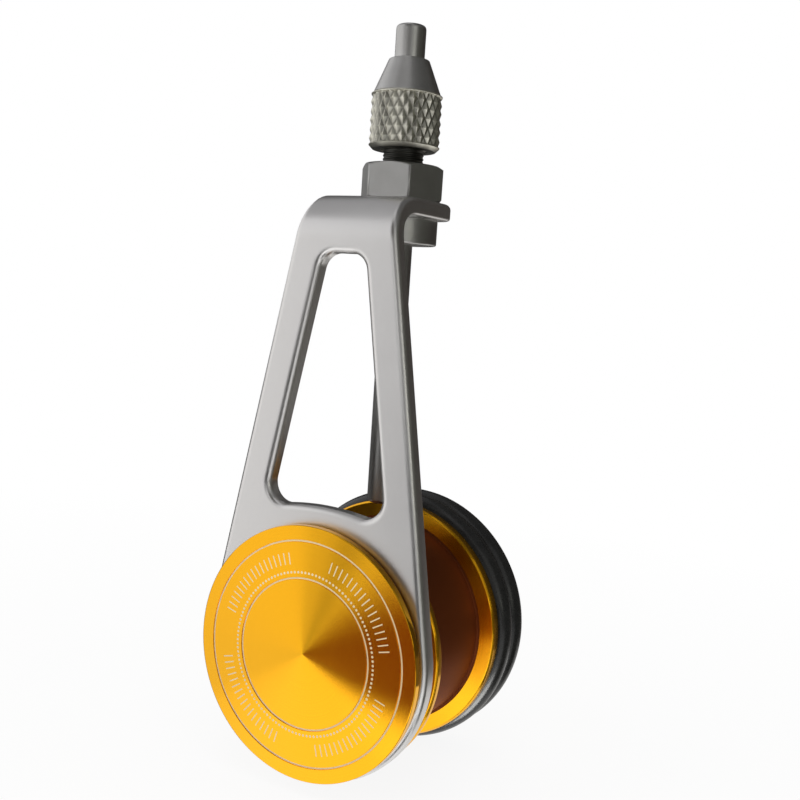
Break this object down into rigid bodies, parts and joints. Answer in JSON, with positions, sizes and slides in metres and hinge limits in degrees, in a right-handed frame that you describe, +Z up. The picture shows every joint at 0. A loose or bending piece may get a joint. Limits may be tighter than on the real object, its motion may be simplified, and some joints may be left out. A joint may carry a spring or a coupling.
{
  "type": "fishing knot tying tool",
  "caption": "Hand tool for tying fishing line knots: a line bobbin with an adjustable drag knob on a bent steel arm, and a line tube held in a collet nozzle above it.",
  "frame": {"origin": "centre of the drag knob's front face, on the axle's axis", "axes": "+Y runs along the axle from the knob to the bobbin's rear, +Z runs up the arm to the nozzle, +X is to the right seen from the knob's side"},
  "size_m": [0.0362, 0.031, 0.0998],
  "materials": {
    "steel_plate": "satin",
    "turned_steel": "turned satin",
    "gold_anodised": "turned and anodised",
    "black_rubber": "semi-gloss",
    "collet_brass": "turned",
    "axle_steel": "turned",
    "slip_plastic": "moulded",
    "drag_fibre": "pressed fibre"
  },
  "bodies": {
    "frame": {"frame_arm": "steel_plate", "nozzle_body": "turned_steel", "hex_nut": "turned_steel", "knob_washer": "slip_plastic", "key_plate": "axle_steel", "key_pins": "axle_steel", "front_drag_washer": "drag_fibre", "rear_drag_washer": "drag_fibre", "disc_springs": "axle_steel"},
    "knob": {"drag_knob": "gold_anodised"},
    "axle": {"axle": "axle_steel", "rear_washer": "axle_steel"},
    "bobbin": {"bobbin": "gold_anodised", "front_bush": "slip_plastic", "rear_bush": "slip_plastic", "grip_ring_front": "black_rubber", "grip_ring_rear": "black_rubber"},
    "collet": {"collet": "collet_brass"},
    "collet_nut": {"collet_nut": "turned_steel"},
    "tube": {"line_tube": "turned_steel"}
  },
  "joints": [
    {"name": "bobbin_spin", "type": "hinge", "parent": "frame", "child": "bobbin", "pos_m": [0, 0.0138, 0], "axis": [0, 1, 0], "continuous": true},
    {"name": "knob_turn", "type": "hinge", "parent": "frame", "child": "knob", "pos_m": [0, 0, 0], "axis": [0, 1, 0], "range_deg": [0, 210]},
    {"name": "axle_draw", "type": "slide", "parent": "frame", "child": "axle", "axis": [0, 1, 0], "range_m": [-0.00047, 0], "deforming": ["disc_springs"]},
    {"name": "collet_nut_turn", "type": "hinge", "parent": "collet", "child": "collet_nut", "pos_m": [0, 0.0148, 0.0587], "axis": [0, -0.0436, 0.999], "range_deg": [0, 360]},
    {"name": "collet_lift", "type": "slide", "parent": "frame", "child": "collet", "axis": [0, -0.0436, 0.999], "range_m": [0, 0.001]},
    {"name": "tube_slide", "type": "slide", "parent": "frame", "child": "tube", "axis": [0, -0.0436, 0.999], "range_m": [-0.002, 0.02]}
  ],
  "couplings": [
    {"joint": "axle_draw", "follows": "knob_turn", "m_per_rad": -0.00012732},
    {"joint": "collet_nut_turn", "follows": "collet_lift", "rad_per_m": 6283.2}
  ]
}
